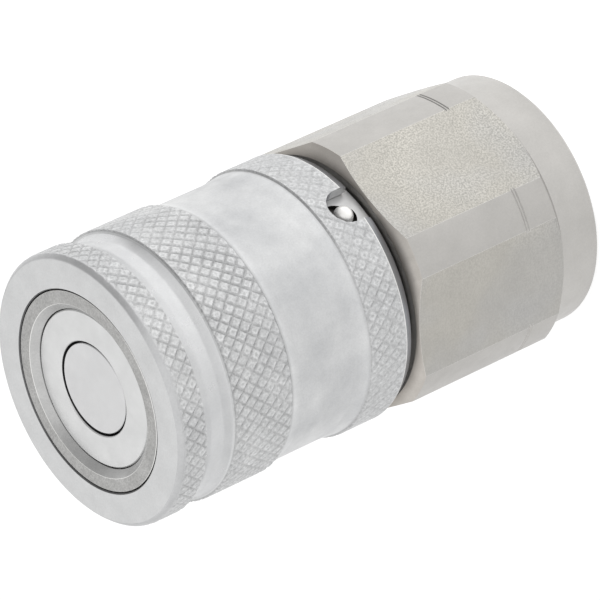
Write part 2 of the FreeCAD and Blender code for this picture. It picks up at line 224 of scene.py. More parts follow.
for k, (r, z) in enumerate(rows):
    r2, z2 = rows[(k + 1) % len(rows)]
    full.append((r, z))
    if abs(r - R_OUT) < 1e-4 and abs(r2 - R_OUT) < 1e-4 and z2 - z > step:
        a, b = math.ceil(z / step + 0.35), math.floor(z2 / step - 0.35)
        full += [(R_OUT, q * step) for q in range(a, b + 1)]
    elif min(r, r2) > 12.5 and z2 - z > 2.0:
        n = math.ceil((z2 - z) / 2.0)
        full += [(r + (r2 - r) * q / n, z + (z2 - z) * q / n) for q in range(1, n)]
rows = full
COLS = STARTS * FINE


def knurl_groove(z, t):
    """How deep the two families of crossing grooves are here, 0 on the diamonds' tops to 1 in a groove,
    and how far inside its own diamond a top lies."""
    a = t * STARTS / (2 * math.pi) + z / AXIAL
    b = t * STARTS / (2 * math.pi) - z / AXIAL
    da, db = np.abs(a - np.round(a)), np.abs(b - np.round(b))
    ga = np.clip(1 - da / WIDTH, 0, 1)
    gb = np.clip(1 - db / WIDTH, 0, 1)
    return ga, gb, np.clip((np.minimum(da, db) - WIDTH) / (0.5 - WIDTH), 0, 1)


def knurled(r, z, t):
    ga, gb, top = knurl_groove(z, t)
    near = r > 12.4
    # the rolls bite unevenly and leave the tops a little rough
    bite = (0.84 + 0.12 * np.sin(3 * t + 0.35 * z) + 0.12 * np.sin(11 * t - 0.9 * z + 1.0)) * np.where(z < 29.3, 0.72, 1.0) * np.clip((z - 25.02) / 0.30, 0, 1)
    rough = np.random.default_rng(5).uniform(-0.007, 0.003, r.shape)
    lip = np.clip((z - 25.02) / 0.30, 0, 1)
    return np.where(near, np.minimum(r, R_OUT - DEPTH * bite * np.maximum(ga, gb) - lip * (DISH * np.minimum(1, 2 * top) - rough)), r)


heights = np.array([p[1] for p in rows])
radii = np.array([p[0] for p in rows])
zc = (heights + np.roll(heights, -1)) / 2
tc = 2 * math.pi * (np.arange(COLS) + 0.5) / COLS
ga, gb, top = knurl_groove(zc[:, None], tc[None, :])
ways = np.where(ga >= gb, 2, 1)
in_band = (radii > 13.1) & (np.roll(radii, -1) > 13.1)

sleeve = lathe("knurled_lock_sleeve", rows, COLS, knurled, lambda j, i: int(ways[j, i]) if in_band[j] else 0, 24)

# the notch for the safety ball: a slot with a round end, its rim slightly broken
def slot_outline(half, middle, low, n=28):
    pts = [(-half, low), (half, low)]
    pts += [(half * math.cos(math.pi * k / n), middle + half * math.sin(math.pi * k / n)) for k in range(n + 1)]
    return pts


notch = prism("notch_tool", slot_outline(1.90, 0.0, -4.0), 9.0, 16.0)
notch.matrix_world = radial(1.2, 0, 25.70)
flare = bpy.data.meshes.new("flare")
low, high = slot_outline(1.84, 0.0, -4.0), slot_outline(2.04, 0.0, -4.0)
n = len(low)
verts = [(x * MM, y * MM, 13.20 * MM) for x, y in low] + [(x * MM, y * MM, 13.62 * MM) for x, y in high]
faces = [tuple(reversed(range(n))), tuple(range(n, 2 * n))] + [(i, (i + 1) % n, n + (i + 1) % n, n + i) for i in range(n)]
flare_tool = make("flare_tool", verts, faces)
flare_tool.matrix_world = radial(1.2, 0, 25.70)
boolean(sleeve, [notch, flare_tool])
shade(sleeve, 24)
for p in sleeve.data.polygons:
    out, up_z = math.hypot(p.center.x, p.center.y) / MM, p.center.z / MM
    if out < 10.02 and up_z > 47.9:
        p.material_index = 1          # painted shade on the wall of the gap round the rim
    elif up_z < 25.06 and out > 13.30 and -0.40 < p.normal.z < -0.03:
        p.material_index = 4          # worn line along the rear edge, lightened partly as a painted highlight
    elif up_z < 24.9 and out > 12.75 and p.normal.z < -0.35:
        p.material_index = 2          # painted shade on the turned rear edge
    elif 25.7 < up_z < 27.8 and 12.06 < out < 13.22 and p.center.x > 11.5 * MM and abs(p.center.y) < 2.4 * MM and p.normal.z < -0.10:
        p.material_index = 1 if p.normal.z < -0.30 else 2          # painted shade on the round end of the notch, out of the light
    elif up_z > 51.36 and 12.80 < out and p.normal.z < 0.95:
        p.material_index = 3          # broken front edge, darkened with painted shade
    elif up_z > 51.9:
        p.material_index = 5          # front face
    elif 29.35 < up_z < 38.60 and out > 12.5:
        p.material_index = 6          # plain waist
    elif 45.56 < up_z < 48.80 and out > 12.5:
        p.material_index = 7          # finger groove
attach(sleeve, "lock_sleeve")
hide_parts("lock_sleeve")

# ------------------------------------------------------------------ hexagon body
PITCH, THREAD = 1.337 * K, 0.62 * K
hexagon = rounded([
    (7.05 * K, 0.0, 0.05), (12.23, 0.0, 0.10), (12.58, 0.35, 0.15), (12.58, 4.62, 0.08), (13.99, 5.82, 0.06),
    (13.99, 9.02, 0.01), (13.89, 9.09, 0.02), (13.89, 9.15, 0.02), (13.985, 9.22, 0.02), (13.985, 9.34, 0.02),
    (13.89, 9.41, 0.02), (13.89, 9.47, 0.02), (13.99, 9.54, 0.01),
    (13.99, 22.49, 0.05), (12.68, 23.20, 0.05), (10.50, 23.20, 0.0), (10.05, 22.70, 0.0), (10.05, 12.20, 0.0),
    (5.90 * K, 12.20, 0.0),
], 3)
MOUTH = 1.10 * K
hexagon = hexagon + [(5.90 * K, 12.20 - (12.20 - MOUTH) * k / 84) for k in range(1, 85)]
HCOLS = 360


def threaded(r, z, t):
    phase = z / PITCH - t / (2 * math.pi)
    phase = np.abs(phase - np.floor(phase) - 0.5) * 2
    form = np.clip((phase - 0.12) / 0.76, 0, 1)
    fade = np.clip((11.2 - z) / 1.2, 0, 1) * np.clip((z - 0.2) / 0.9, 0, 1)
    wall = (r < 5.95 * K) & (z > MOUTH - 0.1) & (z < 12.1)
    return np.where(wall, r + THREAD * form * fade, r)


hexa = lathe("hexagon_body", hexagon, HCOLS, threaded, None, 20)
reach = 26.0 / math.sqrt(3)
flat_tool = prism("flat_tool", [(reach * math.cos(math.radians(30 + 60 * k)), reach * math.sin(math.radians(30 + 60 * k))) for k in range(6)], -1, 24)
boolean(hexa, [flat_tool], "INTERSECT")


def flat_face(face):
    """True for a face of one of the six milled flats."""
    n = face.normal
    if abs(n.z) > 0.02:
        return False
    t = math.degrees(math.atan2(n.y, n.x)) / 60
    return abs(t - round(t)) < 0.006 and face.calc_center_median().dot(n) > 12.98 * MM


bm = bmesh.new()
bm.from_mesh(hexa.data)
bmesh.ops.dissolve_limit(bm, angle_limit=math.radians(0.05), verts=bm.verts, edges=[e for e in bm.edges if len(e.link_faces) == 2 and all(flat_face(f) for f in e.link_faces)])
bm.normal_update()
border = [e for e in bm.edges if len(e.link_faces) == 2 and flat_face(e.link_faces[0]) != flat_face(e.link_faces[1])]
worn = set(bmesh.ops.bevel(bm, geom=border, offset=0.15 * MM, offset_type="OFFSET", segments=2, profile=0.5, affect="EDGES", clamp_overlap=True)["faces"])
bm.normal_update()
for f in bm.faces:
    c = f.calc_center_median()
    if flat_face(f):
        f.material_index = 1
    # worn bevels round the flats, lightened partly as a painted highlight
    elif f in worn:
        f.material_index = 3
    elif math.hypot(c.x, c.y) < 6.7 * MM and c.z > 0.1 * MM:
        f.material_index = 2
    # painted shade on the front face, in the gap under the sleeve
    elif f.normal.z > 0.95 and c.z > 23.0 * MM:
        f.material_index = 5
    # the front cone, with painted shade towards its gap
    elif c.z > 22.45 * MM and math.hypot(c.x, c.y) > 12.5 * MM:
        f.material_index = 4
    elif c.z < 4.75 * MM:
        f.material_index = 6
bm.to_mesh(hexa.data)
bm.free()
shade(hexa, 20)
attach(hexa, "body")
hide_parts("hex_body")

# ------------------------------------------------------------------ socket body
tube = lathe("socket_tube", rounded([
    (7.20, 14.70, 0), (9.50, 14.70, 0), (10.00, 15.20, 0), (10.00, 20.60, 0), (8.90, 20.60, 0), (8.90, 22.60, 0), (10.00, 22.60, 0),
    (10.00, 23.20, 0), (10.90, 23.20, 0), (10.90, 23.40, 0), (11.90, 23.40, 0.02), (12.00, 23.50, 0.03), (12.00, 28.26, 0.05), (11.76, 28.50, 0.03),
    (9.85, 28.50, 0), (9.85, 51.87, 0.02), (9.80, 51.92, 0.02), (8.55, 51.92, 0.12), (7.85, 51.27, 0.04),
    (7.85, 43.40, 0.04), (8.80, 43.40, 0), (8.80, 42.20, 0), (7.85, 42.20, 0.04), (7.85, 31.00, 0), (6.65, 31.00, 0),
    (6.65, 28.90, 0), (7.70, 28.90, 0), (7.70, 26.20, 0), (6.65, 26.20, 0), (6.65, 24.95, 0), (7.20, 24.95, 0),
], 3), 240, None, None, 28)
tools = []
for k in range(8):
    drill = prism("drill", [(1.56 * math.cos(2 * math.pi * i / 40), 1.56 * math.sin(2 * math.pi * i / 40)) for i in range(40)], 5.0, 14.0)
    drill.matrix_world = radial(22.5 + 45 * k, 0, 45.5)
    tools.append(drill)
# the safety ball's seat: a slot that runs on a little towards the notch's closed end
SEAT, RUN = 1.26, Vector((0.42, 0.72))
seat = []
for i in range(60):
    ray = Vector((math.cos(2 * math.pi * i / 60), math.sin(2 * math.pi * i / 60)))
    seat.append(tuple(SEAT * ray + (RUN if ray.dot(RUN) > 0 else Vector((0, 0)))))
pocket = prism("drill", seat, 11.34, 14.0)
pocket.matrix_world = radial(-0.7, 0, 25.74)
boolean(tube, tools + [pocket])
shade(tube, 28)
hole = radial(-0.7, 0, 25.74).inverted()
for p in tube.data.polygons:
    q = hole @ p.center
    out = math.hypot(p.center.x, p.center.y) / MM
    along = max(0.0, min(1.0, (q.xy / MM).dot(RUN) / RUN.length_squared))
    # painted shade in the ball's seat
    if 11.2 * MM < q.z < 11.99 * MM and (q.xy / MM - along * RUN).length < SEAT + 0.05 and (q.z < 11.5 * MM or abs((hole.to_3x3() @ p.normal).z) < 0.5):
        p.material_index = 2
    elif p.center.z > 51.2 * MM:
        # rim top: its flat, the lead-in, and its edges lightened partly as a painted highlight
        p.material_index = 1 if p.normal.z > 0.99 else (3 if 7.8 < out < 8.48 else 4)
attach(tube, "body")
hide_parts("socket_body")

# ------------------------------------------------------------------ valve sleeve and stem
valve = lathe("valve_slider", rounded([
    (4.76, 51.27, 0.04), (4.66, 51.17, 0.04), (4.66, 47.30, 0.1), (5.40, 46.50, 0.1), (5.40, 24.00, 0), (6.45, 24.00, 0), (6.60, 24.15, 0),
    (6.60, 24.30, 0), (6.00, 24.30, 0), (6.00, 24.90, 0), (6.60, 24.90, 0), (6.60, 48.80, 0.1), (7.64, 48.80, 0.04), (7.76, 48.92, 0.04),
    (7.76, 51.15, 0.04), (7.64, 51.27, 0.04),
][::-1], 3)[::-1], 200, None, None, 28)
for p in valve.data.polygons:
    # painted shade on the valve's mouth wall
    p.material_index = 1 if math.hypot(p.center.x, p.center.y) < 4.75 * MM and 47.3 * MM < p.center.z < 51.18 * MM else 0
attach(valve, "valve")
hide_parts("valve_sleeve")


def open_round(corners, steps=4):
    """As rounded, for an outline whose two ends stay on the axis."""
    return rounded([(r, z, f) for r, z, f in corners], steps)


stem = spindle("valve_stem_turned", open_round([
    (0.0, 12.20, 0), (9.90, 12.20, 0.05), (9.90, 14.70, 0.05), (3.20, 14.70, 0.2), (2.20, 16.50, 0.4), (2.20, 45.20, 0.6), (4.46, 48.00, 0.15),
    (4.46, 48.70, 0.04), (3.55, 48.70, 0), (3.55, 50.10, 0), (4.46, 50.10, 0.04), (4.46, 51.07, 0.04), (4.38, 51.15, 0.04), (0.0, 51.15, 0),
]), 160, 28)
tools = []
for k in range(6):
    drill = prism("drill", [(1.25 * math.cos(2 * math.pi * i / 40), 1.25 * math.sin(2 * math.pi * i / 40)) for i in range(40)], 11.0, 15.6)
    t = math.radians(60 * k)
    drill.location = (4.6 * MM * math.cos(t), 4.6 * MM * math.sin(t), 0)
    tools.append(drill)
boolean(stem, tools)
shade(stem, 28)
for p in stem.data.polygons:
    # painted shade on the side of the stem's head
    p.material_index = 1 if math.hypot(p.center.x, p.center.y) > 4.44 * MM and 50.0 * MM < p.center.z < 51.05 * MM else 0
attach(stem, "body")
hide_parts("valve_stem")


# ------------------------------------------------------------------ balls
def ball(name, radius, centre, body, node):
    bm = bmesh.new()
    bmesh.ops.create_icosphere(bm, subdivisions=5, radius=radius * MM)
    bmesh.ops.translate(bm, verts=bm.verts, vec=Vector(centre) * MM)
    mesh = bpy.data.meshes.new(name)
    bm.to_mesh(mesh)
    bm.free()
    obj = bpy.data.objects.new(name, mesh)
    scene.collection.objects.link(obj)
    shade(obj, 60)
    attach(obj, body)
    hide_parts(node)
    return obj


t = math.radians(-0.8)
catch = ball("catch_ball", 0.963, (12.355 * math.cos(t), 12.355 * math.sin(t), 26.05), "body", "safety_ball")
balls = [catch]
for k in range(8):
    t = math.radians(22.5 + 45 * k)
    balls.append(ball("lock_ball_%d" % (k + 1), 1.5, (9.43 * math.cos(t), 9.43 * math.sin(t), 45.5), "ball_%d" % (k + 1), "locking_ball_%d" % (k + 1)))


# ------------------------------------------------------------------ springs
def spring(name, radius, wire, low, high, live, node, keep=None, follows=None):
    """Round-wire compression spring with a closed coil at each end."""
    turns, per, around = live + 2.0, 40, 12
    steps = int(turns * per)
    pitch_dead = 2.02 * wire
    span = high - low - 2 * wire
    live_pitch = (span - 2 * pitch_dead) / live
    path = []
    z = low + wire
    for s in range(steps + 1):
        u = s / per
        rise = pitch_dead * min(u, 1) + live_pitch * min(max(u - 1, 0), live) + pitch_dead * max(u - 1 - live, 0)
        t = 2 * math.pi * u
        path.append((radius * math.cos(t), radius * math.sin(t), z + rise, t))
    verts, faces = [], []
    for x, y, zz, t in path:
        for k in range(around):
            q = 2 * math.pi * k / around
            c, d = wire * math.cos(q), wire * math.sin(q)
            verts.append(((x + c * math.cos(t)) * MM, (y + c * math.sin(t)) * MM, (zz + d) * MM))
    for s in range(steps):
        for k in range(around):
            h = (k + 1) % around
            a = s * around
            faces.append((a + k, a + around + k, a + around + h, a + h))
    faces.append(tuple(range(around)))
    faces.append(tuple(reversed(range(steps * around, steps * around + around))))
    obj = make(name, verts, faces, 60)
    if follows:
        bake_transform(obj)
    else:
        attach(obj, "body")
    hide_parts(node)
    if keep:
        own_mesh(obj)
    return obj


springs = [
    spring("coil_of_valve", 6.96, 0.32, 31.0, 48.78, 6.5, "valve_spring", 0.49),
    spring("coil_of_sleeve", 10.70, 0.45, 28.5, 38.33, 4.0, "sleeve_spring", follows="sleeve_carrier"),
]


# ------------------------------------------------------------------ materials
class Tree:
    """Small helper round one material's node tree."""

    def __init__(self, name):
        self.mat = bpy.data.materials.new(name)
        self.mat.use_nodes = True
        self.nodes, self.links = self.mat.node_tree.nodes, self.mat.node_tree.links
        self.shader = self.nodes["Principled BSDF"]
        self.coord = self.nodes.new("ShaderNodeTexCoord").outputs["Object"]

    def add(self, kind, **values):
        node = self.nodes.new(kind)
        for key, value in values.items():
            if key in node.inputs:
                node.inputs[key].default_value = value
            else:
                setattr(node, key, value)
        return node

    def link(self, a, b):
        self.links.new(a, b)

    def mapped(self, scale):
        node = self.add("ShaderNodeMapping")
        node.inputs["Scale"].default_value = scale
        self.link(self.coord, node.inputs["Vector"])
        return node.outputs["Vector"]

    def noise(self, scale, detail=3.0, rough=0.55, vector=None, distortion=0.0):
        node = self.add("ShaderNodeTexNoise", Scale=scale, Detail=detail, Roughness=rough, Distortion=distortion)
        self.link(vector or self.coord, node.inputs["Vector"])
        return node.outputs["Fac"]

    def ramp(self, value, stops):
        node = self.nodes.new("ShaderNodeValToRGB")
        while len(node.color_ramp.elements) < len(stops):
            node.color_ramp.elements.new(0.5)
        for e, (p, c) in zip(node.color_ramp.elements, stops):
            e.position = p
            e.color = (*c, 1) if len(c) == 3 else c
        self.link(value, node.inputs["Fac"])
        return node.outputs["Color"]

    def spread(self, value, low, high, a=0.3, b=0.7):
        node = self.add("ShaderNodeMapRange")
        for key, v in (("From Min", a), ("From Max", b), ("To Min", low), ("To Max", high)):
            node.inputs[key].default_value = v
        self.link(value, node.inputs["Value"])
        return node.outputs["Result"]

    def mix(self, fac, a, b, blend="MIX"):
        node = self.nodes.new("ShaderNodeMix")
        node.data_type = "RGBA"
        node.blend_type = blend
        for value, key in ((fac, 0), (a, 6), (b, 7)):
            if isinstance(value, bpy.types.NodeSocket):
                self.link(value, node.inputs[key])
            elif key == 0:
                node.inputs[key].default_value = value
            else:
                node.inputs[key].default_value = (*value, 1)
        return node.outputs[2]

    def bump(self, value, depth, strength=1.0, below=None):
        node = self.add("ShaderNodeBump")
        node.inputs["Strength"].default_value = strength
        node.inputs["Distance"].default_value = depth * MM
        self.link(value, node.inputs["Height"])
        if below is not None:
            self.link(below, node.inputs["Normal"])
        return node.outputs["Normal"]

    def rings(self, per_mm, distortion=0.0):
        """Fine turning marks: rings about the axis."""
        node = self.add("ShaderNodeTexWave", wave_type="RINGS", rings_direction="Z")
        node.inputs["Scale"].default_value = per_mm * 1000 * math.pi / 10
        node.inputs["Distortion"].default_value = distortion
        node.inputs["Detail"].default_value = 2.0
        self.link(self.coord, node.inputs["Vector"])
        return node.outputs["Fac"]

    def lines(self, per_mm, distortion=0.0):
        """Fine turning marks on a cylinder: bands along the axis."""
        node = self.add("ShaderNodeTexWave", wave_type="BANDS", bands_direction="Z")
        node.inputs["Scale"].default_value = per_mm * 1000 * math.pi / 10
        node.inputs["Distortion"].default_value = distortion
        node.inputs["Detail"].default_value = 2.0
        self.link(self.coord, node.inputs["Vector"])
        return node.outputs["Fac"]

    def math(self, operation, a, b=None):
        node = self.add("ShaderNodeMath", operation=operation)
        for value, key in ((a, 0), (b, 1)):
            if isinstance(value, bpy.types.NodeSocket):
                self.link(value, node.inputs[key])
            elif value is not None:
                node.inputs[key].default_value = value
        return node.outputs["Value"]

    def radius(self):
        """Distance from the axis."""
        across = self.add("ShaderNodeVectorMath", operation="MULTIPLY")
        across.inputs[1].default_value = (1, 1, 0)
        self.link(self.coord, across.inputs[0])
        out = self.add("ShaderNodeVectorMath", operation="LENGTH")
        self.link(across.outputs["Vector"], out.inputs[0])
        return out.outputs["Value"]

    def knurl(self):
        """Colour that follows the knurl's own diamonds: worn rims, lightened partly as a painted highlight, and how
        strongly each diamond has them, grooves darkened with painted shade and how strongly they show, and painted
        shade with a painted light band on the shoulders beside the knurl."""
        split = self.add("ShaderNodeSeparateXYZ")
        self.link(self.coord, split.inputs["Vector"])
        x, y, z = (split.outputs[k] for k in "XYZ")
        u = self.math("MULTIPLY", self.math("ARCTAN2", y, x), STARTS / (2 * math.pi))
        w = self.math("MULTIPLY", z, 1 / (AXIAL * MM))
        a, b = self.math("ADD", u, w), self.math("SUBTRACT", u, w)
        inside = self.math("MINIMUM", self.math("PINGPONG", a, 0.5), self.math("PINGPONG", b, 0.5))
        jitter = self.spread(self.noise(4200.0, 2.0, 0.6), -0.085, 0.085)
        inside = self.spread(self.math("ADD", inside, jitter), 0.0, 1.0, 0.0, 0.5)
        # painted shade darkens the grooves; the rims are worn, lightened partly as a painted highlight
        groove = self.ramp(inside, [(0.0, (0.75,) * 3), (0.16, (0.79,) * 3), (0.32, (0.95,) * 3), (0.42, (1, 1, 1))])
        rim_wear_and_sheen = self.ramp(inside, [(0.30, (1, 1, 1)), (0.46, (1.16,) * 3), (0.64, (1.12,) * 3), (0.86, (0.90,) * 3)])
        cell = self.add("ShaderNodeCombineXYZ")
        self.link(self.math("FLOOR", a), cell.inputs["X"])
        self.link(self.math("FLOOR", b), cell.inputs["Y"])
        chance = self.add("ShaderNodeTexWhiteNoise", noise_dimensions="3D")
        self.link(cell.outputs["Vector"], chance.inputs["Vector"])
        level = self.radius()
        band = self.spread(level, 0.0, 1.0, 13.20 * MM, 13.24 * MM)
        uneven = self.math("MULTIPLY", self.spread(chance.outputs["Value"], 0.15, 1.25, 0.0, 1.0), self.spread(self.noise(170.0, 2.0, 0.5), 0.55, 1.0))
        cut = self.math("MULTIPLY", self.spread(self.noise(1300.0, 3.0, 0.6), 0.12, 1.0), band)
        cut = self.math("MULTIPLY", cut, self.spread(self.noise(120.0, 2.0, 0.5), 0.30, 1.0, 0.38, 0.62))
        cut = self.math("MULTIPLY", cut, self.spread(z, 0.68, 0.88, 29.0 * MM, 31.0 * MM))
        cut = self.math("MULTIPLY", cut, self.spread(z, 1.0, 0.80, 46.0 * MM, 48.0 * MM))
        # painted shade and a painted light band on the shoulders beside the knurl
        shoulder = self.ramp(self.spread(level, 0.0, 1.0, 12.90 * MM, 13.40 * MM),
                             [(0.0, (1, 1, 1)), (0.20, (1.02,) * 3), (0.48, (1.10,) * 3), (0.60, (0.84,) * 3), (0.74, (0.88,) * 3), (0.90, (1, 1, 1))])
        frost = self.mix(band, (1, 1, 1), self.ramp(self.noise(3300.0, 3.0, 0.7), [(0.36, (0.80,) * 3), (0.64, (1.07,) * 3)]))
        return rim_wear_and_sheen, self.math("MULTIPLY", uneven, band), groove, cut, self.mix(1.0, shoulder, frost, "MULTIPLY")

    def done(self, metallic=1.0, rough=0.4, **sockets):
        self.shader.inputs["Metallic"].default_value = metallic
        if not self.shader.inputs["Roughness"].is_linked:
            self.shader.inputs["Roughness"].default_value = rough
        for key, value in sockets.items():
            self.shader.inputs[key.replace("_", " ")].default_value = value
        return self.mat


def plated(name, dark, light, low, high, grain=0.004, cloud=350.0, marks=None, speckle=0.0, tops=False):
    """Satin plating: cloudy colour, fine grain, and optional turning marks or speckle;
    tops follows the knurl's worn rims with their painted highlight and its painted shade, or paints shade on the front
    cone, darker towards its gap."""
    t = Tree(name)
    clouds = t.noise(cloud, 4.0, 0.6)
    fine = t.noise(9000.0, 2.0, 0.5)
    base = t.ramp(clouds, [(0.30, dark), (0.70, light)])
    if speckle:
        grit = t.noise(5200.0, 3.0, 0.7)
        base = t.mix(1.0, base, t.ramp(grit, [(0.34, (1 - speckle,) * 3), (0.66, (1 + 0.6 * speckle,) * 3)]), "MULTIPLY")
        fine = grit
    if tops == "cone":
        # painted shade on the front cone, darker towards its gap and lighter outward
        depth = t.ramp(t.spread(t.radius(), 0.0, 1.0, 12.6 * MM, 13.9 * MM), [(0.0, (0.68, 0.67, 0.66)), (0.30, (0.92, 0.91, 0.90)), (0.70, (1.15, 1.15, 1.15))])
        base = t.mix(1.0, base, depth, "MULTIPLY")
    elif tops:
        mottle = t.ramp(t.noise(115.0, 3.0, 0.55, distortion=0.8), [(0.32, (0.93, 0.932, 0.936)), (0.68, (1.05, 1.05, 1.048))])
        base = t.mix(1.0, base, mottle, "MULTIPLY")
        rim_wear_and_sheen, amount, groove, cut, shoulder = t.knurl()
        base = t.mix(1.0, base, shoulder, "MULTIPLY")
        base = t.mix(amount, base, t.mix(1.0, base, rim_wear_and_sheen, "MULTIPLY"))
        base = t.mix(cut, base, t.mix(1.0, base, groove, "MULTIPLY"))
    t.link(base, t.shader.inputs["Base Color"])
    t.link(t.spread(t.noise(700.0, 3.0, 0.6), low, high), t.shader.inputs["Roughness"])
    normal = t.bump(fine, grain)
    if marks == "rings":
        normal = t.bump(t.rings(6.0, 0.4), 0.0016, 0.8, normal)
    elif marks == "lines":
        normal = t.bump(t.lines(5.0, 0.4), 0.0015, 0.8, normal)
    t.link(normal, t.shader.inputs["Normal"])
    return t.done()


def milled(name, dark, light, cool, low, high):
    """Milled and plated flat: warm stipple, cooler patches, and the cutter's faint waves."""
    t = Tree(name)
    clouds = t.noise(140.0, 3.0, 0.5)
    base = t.ramp(clouds, [(0.30, dark), (0.70, light)])
    patch = t.ramp(t.noise(90.0, 2.0, 0.5, distortion=0.5), [(0.44, (0, 0, 0)), (0.70, (0.8, 0.8, 0.8))])
    base = t.mix(patch, base, cool)
    speck = t.noise(5400.0, 2.0, 0.6)
    grit = t.ramp(speck, [(0.38, (0.77, 0.77, 0.76)), (0.62, (1.20, 1.20, 1.19))])
    # the stipple is plain on one side of the body and faint on the other
    across = t.add("ShaderNodeVectorMath", operation="DOT_PRODUCT")
    across.inputs[1].default_value = (0.8, 0.6, 0.0)
    t.link(t.coord, across.inputs[0])
    side = t.spread(across.outputs["Value"], 0.28, 1.0, 1.0 * MM, 9.0 * MM)
    where = t.math("MULTIPLY", t.spread(t.noise(130.0, 2.0, 0.5), 0.65, 1.0, 0.38, 0.62), side)
    # painted shade: the flats darker on one side of the body
    base = t.mix(1.0, base, t.spread(across.outputs["Value"], 0.90, 1.0, 1.0 * MM, 9.0 * MM), "MULTIPLY")
    t.link(t.mix(where, base, t.mix(1.0, base, grit, "MULTIPLY")), t.shader.inputs["Base Color"])
    t.link(t.spread(t.noise(900.0, 3.0, 0.6), low, high), t.shader.inputs["Roughness"])
    waves = t.add("ShaderNodeTexWave", wave_type="BANDS", bands_direction="Z")
    waves.inputs["Scale"].default_value = 1.7 * 1000 * math.pi / 10
    waves.inputs["Distortion"].default_value = 3.0
    waves.inputs["Detail"].default_value = 3.0
    waves.inputs["Detail Scale"].default_value = 1.4
    t.link(t.coord, waves.inputs["Vector"])
    normal = t.bump(t.math("MULTIPLY", speck, side), 0.034)
    normal = t.bump(waves.outputs["Fac"], 0.016, 0.8, normal)
    t.link(normal, t.shader.inputs["Normal"])
    return t.done()


def polished(name, colour, rough, metallic=1.0):
    t = Tree(name)
    faint = t.noise(1500.0, 3.0, 0.6)
    t.link(t.ramp(faint, [(0.3, tuple(c * 0.93 for c in colour)), (0.7, colour)]), t.shader.inputs["Base Color"])
    t.link(t.spread(t.noise(2500.0), rough * 0.8, rough * 1.3), t.shader.inputs["Roughness"])
    return t.done(metallic)


def soft(name, dark, light, low, high, grain):
    t = Tree(name)
    t.link(t.ramp(t.noise(1200.0, 4.0, 0.6), [(0.3, dark), (0.7, light)]), t.shader.inputs["Base Color"])
    t.link(t.spread(t.noise(1500.0), low, high), t.shader.inputs["Roughness"])
    t.link(t.bump(t.noise(7000.0), grain), t.shader.inputs["Normal"])
    return t.done(metallic=0.0)


zinc = plated("satin_zinc", (0.545, 0.548, 0.55), (0.588, 0.591, 0.593), 0.34, 0.48, 0.006, 300.0, None, 0.05, True)
# painted shade: a darker grey on the rear chamfer and the notch's round end
turned = plated("painted_shade_grey", (0.27, 0.277, 0.295), (0.33, 0.337, 0.355), 0.34, 0.46, 0.004, 400.0, None, 0.05)
# painted shade: a darker grey on the broken front edge
front_edge_shade = plated("painted_shade_front_edge", (0.500, 0.503, 0.507), (0.555, 0.558, 0.562), 0.34, 0.46, 0.005, 400.0, None, 0.05)
front = plated("front_face", (0.568, 0.571, 0.572), (0.610, 0.613, 0.614), 0.36, 0.48, 0.006, 300.0, None, 0.05)
waist = plated("plain_waist", (0.475, 0.480, 0.487), (0.615, 0.617, 0.617), 0.32, 0.46, 0.006, 160.0, None, 0.06, True)
finger = plated("finger_groove", (0.558, 0.562, 0.567), (0.606, 0.609, 0.613), 0.26, 0.36, 0.005, 220.0, None, 0.04, True)
warm = plated("warm_plating", (0.425, 0.414, 0.397), (0.475, 0.462, 0.443), 0.32, 0.42, 0.003, 200.0, "lines", 0.04)
# the front cone, with painted shade towards its gap
cone = plated("front_cone", (0.400, 0.377, 0.349), (0.460, 0.436, 0.407), 0.34, 0.46, 0.003, 300.0, "rings", 0.04, "cone")
# painted shade: a dark ring for the body's front face in the gap under the sleeve
shade_ring = plated("painted_shade_front_ring", (0.30, 0.291, 0.280), (0.36, 0.349, 0.336), 0.40, 0.50, 0.003, 300.0, "rings", 0.04)
collar = plated("rear_collar", (0.465, 0.454, 0.436), (0.520, 0.507, 0.487), 0.32, 0.42, 0.003, 200.0, "lines", 0.04)
flat = milled("milled_flat", (0.458, 0.443, 0.410), (0.515, 0.498, 0.461), (0.462, 0.457, 0.450), 0.36, 0.48)
# worn edges, lightened partly as a painted highlight
edge = plated("worn_edge_and_painted_highlight", (0.70, 0.695, 0.68), (0.80, 0.795, 0.78), 0.26, 0.36)
thread = plated("port_thread", (0.42, 0.41, 0.39), (0.52, 0.51, 0.48), 0.34, 0.46)
bore = plated("socket_plating", (0.52, 0.52, 0.52), (0.60, 0.60, 0.60), 0.34, 0.44, 0.003, 400.0, "lines")
rim = plated("rim_plating", (0.385, 0.383, 0.375), (0.445, 0.443, 0.435), 0.38, 0.50, 0.010, 400.0, None, 0.22)
lead = plated("lead_in_cone", (0.46, 0.46, 0.455), (0.53, 0.53, 0.525), 0.34, 0.46, 0.004, 400.0, "rings", 0.06)
# painted shade: near-black metal on the walls of the gaps round the rim and the valve, and deep in the notch's round
# end
wall = plated("painted_shade_dark", (0.110, 0.110, 0.112), (0.150, 0.150, 0.152), 0.42, 0.56, 0.003, 300.0, "lines")
# painted shade: near-black metal in the ball's seat
seat_shade = plated("ball_seat", (0.075, 0.073, 0.070), (0.110, 0.107, 0.103), 0.45, 0.60)
face = plated("valve_face", (0.60, 0.602, 0.60), (0.66, 0.662, 0.66), 0.34, 0.46, 0.003, 300.0, "rings")
disc = plated("stem_face", (0.57, 0.57, 0.572), (0.62, 0.62, 0.622), 0.30, 0.40, 0.002, 220.0, "rings")
steel = polished("bearing_ball", (0.93, 0.92, 0.90), 0.36, 0.62)
wire = polished("spring_wire", (0.42, 0.42, 0.43), 0.30)
rubber = soft("black_rubber", (0.012, 0.012, 0.012), (0.030, 0.030, 0.030), 0.55, 0.75, 0.006)
ivory = soft("backup_plastic", (0.70, 0.68, 0.62), (0.80, 0.78, 0.72), 0.40, 0.55, 0.003)


